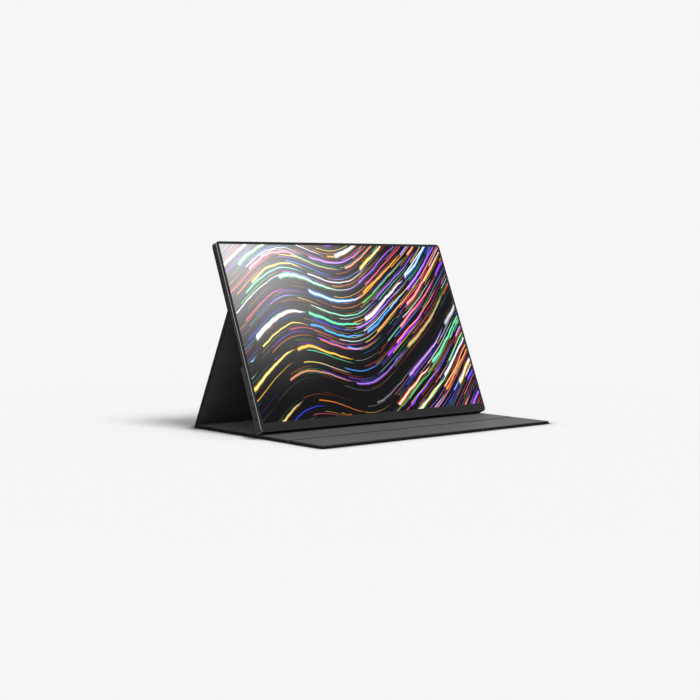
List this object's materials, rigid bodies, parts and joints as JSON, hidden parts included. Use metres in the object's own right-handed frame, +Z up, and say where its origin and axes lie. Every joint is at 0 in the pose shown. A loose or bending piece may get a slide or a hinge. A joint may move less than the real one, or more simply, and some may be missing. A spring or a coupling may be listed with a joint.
{
  "type": "portable monitor with folding cover",
  "caption": "Thin portable monitor leaning on a black folio cover that folds into a stand, its flap lying flat in front, with side buttons and side sockets.",
  "frame": {"origin": "middle of the footprint, at the underside of the flap that lies on the desk", "axes": "+X to the right as seen by someone who looks at the screen, +Y from the front of the flap to the spine behind the monitor, +Z up"},
  "size_m": [0.3538, 0.24, 0.218],
  "materials": {
    "front_glass": "clear cover glass over a black border",
    "screen": "lit liquid crystal panel",
    "black_tape": "matt black",
    "casing_metal": "black anodised, fine bead blast, bright cut front edge",
    "casing_plastic": "fine matt black",
    "button_plastic": "satin black",
    "films": "clear to white optical sheet",
    "sheet_steel": "bare sheet steel",
    "circuit_board": "green solder mask",
    "chips": "black moulded packages",
    "tin": "tin plate",
    "flex_film": "amber film",
    "led_strip": "white strip with pale yellow chips",
    "socket_metal": "nickel plate",
    "socket_plastic": "black",
    "speaker": "black",
    "window": "smoked",
    "screw_steel": "black steel",
    "magnet": "nickel plate",
    "cover_skin": "fine-grained black synthetic leather",
    "cover_lining": "dark grey microfibre suede",
    "cover_board": "grey board"
  },
  "bodies": {
    "floor_cover": {"floor_skin": "cover_skin", "floor_board_2": "cover_board", "floor_board_3": "cover_board", "floor_board_4": "cover_board", "spine_board": "cover_board", "floor_lining": "cover_lining", "foot_fold": "cover_skin", "flap_fold": "cover_skin"},
    "front_strip": {"front_skin": "cover_skin", "front_board": "cover_board", "front_lining": "cover_lining", "flap_magnets": "magnet"},
    "stand_panel": {"stand_skin": "cover_skin", "stand_board": "cover_board", "stand_lining": "cover_lining"},
    "upper_cover": {"upper_skin": "cover_skin", "upper_board": "cover_board", "upper_lining": "cover_lining", "cover_magnets": "magnet", "upper_fold": "cover_skin"},
    "power_button": {"button_3": "button_plastic"},
    "plus_button": {"button_2": "button_plastic"},
    "minus_button": {"button_1": "button_plastic"},
    "monitor": {"front_glass": "front_glass", "glass_tape": "black_tape", "front_frame": "casing_metal", "lcd_panel": "screen", "optical_films": "films", "light_guide": "films", "reflector_sheet": "films", "backlight_tray": "sheet_steel", "led_strip": "led_strip", "rear_panel": "casing_metal", "lower_housing": "casing_plastic", "monitor_magnets": "magnet", "main_board": "circuit_board", "board_chips": "chips", "chip_shield": "tin", "panel_board": "circuit_board", "panel_flex": "flex_film", "board_cable": "films", "usb_socket_lower": "socket_metal", "usb_socket_upper": "socket_metal", "hdmi_socket": "socket_metal", "audio_socket": "socket_plastic", "speaker_left": "speaker", "speaker_right": "speaker", "button_board": "circuit_board", "button_switches": "chips", "status_light": "window", "board_screws": "screw_steel"}
  },
  "joints": [
    {"name": "foot_fold_turn", "type": "hinge", "parent": "floor_cover", "child": "stand_panel", "pos_m": [0, 0.119, 0.001], "axis": [-1, 0, 0], "range_deg": [0, 114.88]},
    {"name": "upper_fold_turn", "type": "hinge", "parent": "stand_panel", "child": "upper_cover", "pos_m": [0, 0.04976, 0.13911], "axis": [1, 0, 0], "range_deg": [0, 44.45]},
    {"name": "monitor_lift_off", "type": "slide", "parent": "upper_cover", "child": "monitor", "axis": [0, -0.922, 0.3871], "range_m": [0, 0.06]},
    {"name": "front_strip_turn", "type": "hinge", "parent": "floor_cover", "child": "front_strip", "pos_m": [0, -0.0625, 0.001], "axis": [-1, 0, 0], "range_deg": [0, 90]},
    {"name": "power_button_press", "type": "slide", "parent": "monitor", "child": "power_button", "axis": [1, 0, 0], "range_m": [0, 0.0004], "stiffness_N_per_m": 800, "springref_m": -0.0003},
    {"name": "plus_button_press", "type": "slide", "parent": "monitor", "child": "plus_button", "axis": [1, 0, 0], "range_m": [0, 0.0004], "stiffness_N_per_m": 800, "springref_m": -0.0003},
    {"name": "minus_button_press", "type": "slide", "parent": "monitor", "child": "minus_button", "axis": [1, 0, 0], "range_m": [0, 0.0004], "stiffness_N_per_m": 800, "springref_m": -0.0003}
  ],
  "couplings": [
    {"joint": "upper_fold_turn", "follows": "foot_fold_turn", "ratio": 0.38649}
  ]
}
